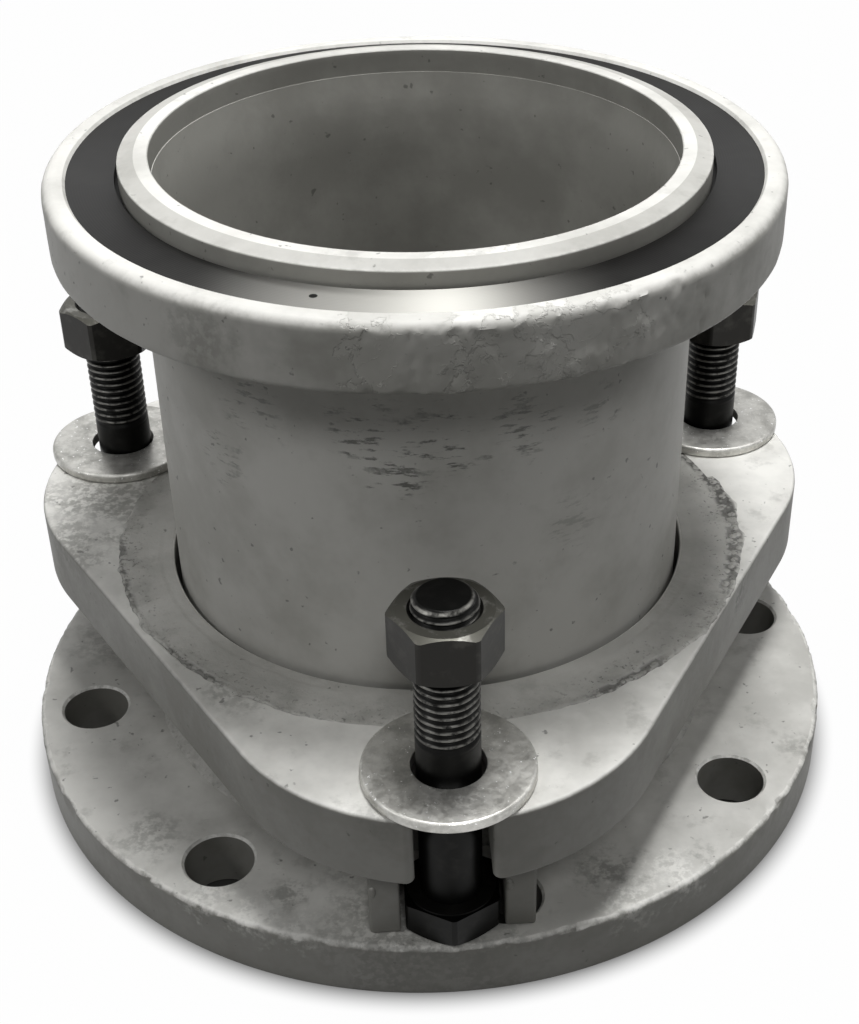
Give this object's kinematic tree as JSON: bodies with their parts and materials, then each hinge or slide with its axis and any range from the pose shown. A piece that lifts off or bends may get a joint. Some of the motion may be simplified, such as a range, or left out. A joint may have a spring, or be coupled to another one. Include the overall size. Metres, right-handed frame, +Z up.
{
  "type": "breakable spool coupling",
  "caption": "Flanged pipe socket with a three-lobed plate and slide-out hex bolts, holding a loose spool pipe that ends in a raised-lip ring.",
  "frame": {"origin": "centre of the flow bore at the base flange's underside", "axes": "+Z up along the flow bore, from the base flange to the spool's end ring; the front lobe and its bolt point along -Y"},
  "size_m": [0.2794, 0.2903, 0.219],
  "materials": {
    "flange_paint": "satin, worn",
    "plate_paint": "satin",
    "weld_paint": "rough",
    "spool_paint": "satin",
    "ring_paint": "satin, chipped",
    "seal_rubber": "matt",
    "black_steel": "black oxide",
    "zinc_plate": "zinc plated"
  },
  "bodies": {
    "base": {"base_flange": "flange_paint", "neck_tube": "plate_paint", "lobed_plate": "plate_paint", "neck_base_weld": "weld_paint", "plate_under_weld": "weld_paint", "plate_top_weld": "weld_paint", "seat_gasket": "seal_rubber", "head_guide_front_a": "plate_paint", "head_guide_front_b": "plate_paint", "head_guide_right_a": "plate_paint", "head_guide_right_b": "plate_paint", "head_guide_left_a": "plate_paint", "head_guide_left_b": "plate_paint"},
    "seal": {"seal_ring": "seal_rubber"},
    "spool": {"spool_pipe": "spool_paint", "end_ring": "ring_paint", "ring_weld": "weld_paint"},
    "washer_front": {"washer_front": "zinc_plate"},
    "bolt_front": {"bolt_front": "black_steel"},
    "nut_front": {"nut_front": "black_steel"},
    "washer_right": {"washer_right": "zinc_plate"},
    "bolt_right": {"bolt_right": "black_steel"},
    "nut_right": {"nut_right": "black_steel"},
    "washer_left": {"washer_left": "zinc_plate"},
    "bolt_left": {"bolt_left": "black_steel"},
    "nut_left": {"nut_left": "black_steel"}
  },
  "joints": [
    {"name": "spool_lift", "type": "slide", "parent": "base", "child": "seal", "axis": [0, 0, 1], "range_m": [0, 0.1]},
    {"name": "spool_turn", "type": "hinge", "parent": "seal", "child": "spool", "pos_m": [0, 0, 0.045], "axis": [0, 0, 1], "continuous": true},
    {"name": "bolt_release_front", "type": "slide", "parent": "base", "child": "washer_front", "axis": [0, -1, 0], "range_m": [-0.0038, 0.04]},
    {"name": "bolt_lift_front", "type": "slide", "parent": "washer_front", "child": "bolt_front", "axis": [0, 0, 1], "range_m": [0, 0.0204]},
    {"name": "nut_run_front", "type": "slide", "parent": "bolt_front", "child": "nut_front", "axis": [0, 0, 1], "range_m": [-0.0225, 0.02]},
    {"name": "bolt_release_right", "type": "slide", "parent": "base", "child": "washer_right", "axis": [0.866, 0.5, 0], "range_m": [-0.006, 0.04]},
    {"name": "bolt_lift_right", "type": "slide", "parent": "washer_right", "child": "bolt_right", "axis": [0, 0, 1], "range_m": [0, 0.0204]},
    {"name": "nut_run_right", "type": "slide", "parent": "bolt_right", "child": "nut_right", "axis": [0, 0, 1], "range_m": [-0.021, 0.0215]},
    {"name": "bolt_release_left", "type": "slide", "parent": "base", "child": "washer_left", "axis": [-0.866, 0.5, 0], "range_m": [-0.006, 0.04]},
    {"name": "bolt_lift_left", "type": "slide", "parent": "washer_left", "child": "bolt_left", "axis": [0, 0, 1], "range_m": [0, 0.0204]},
    {"name": "nut_run_left", "type": "slide", "parent": "bolt_left", "child": "nut_left", "axis": [0, 0, 1], "range_m": [-0.0245, 0.018]}
  ]
}
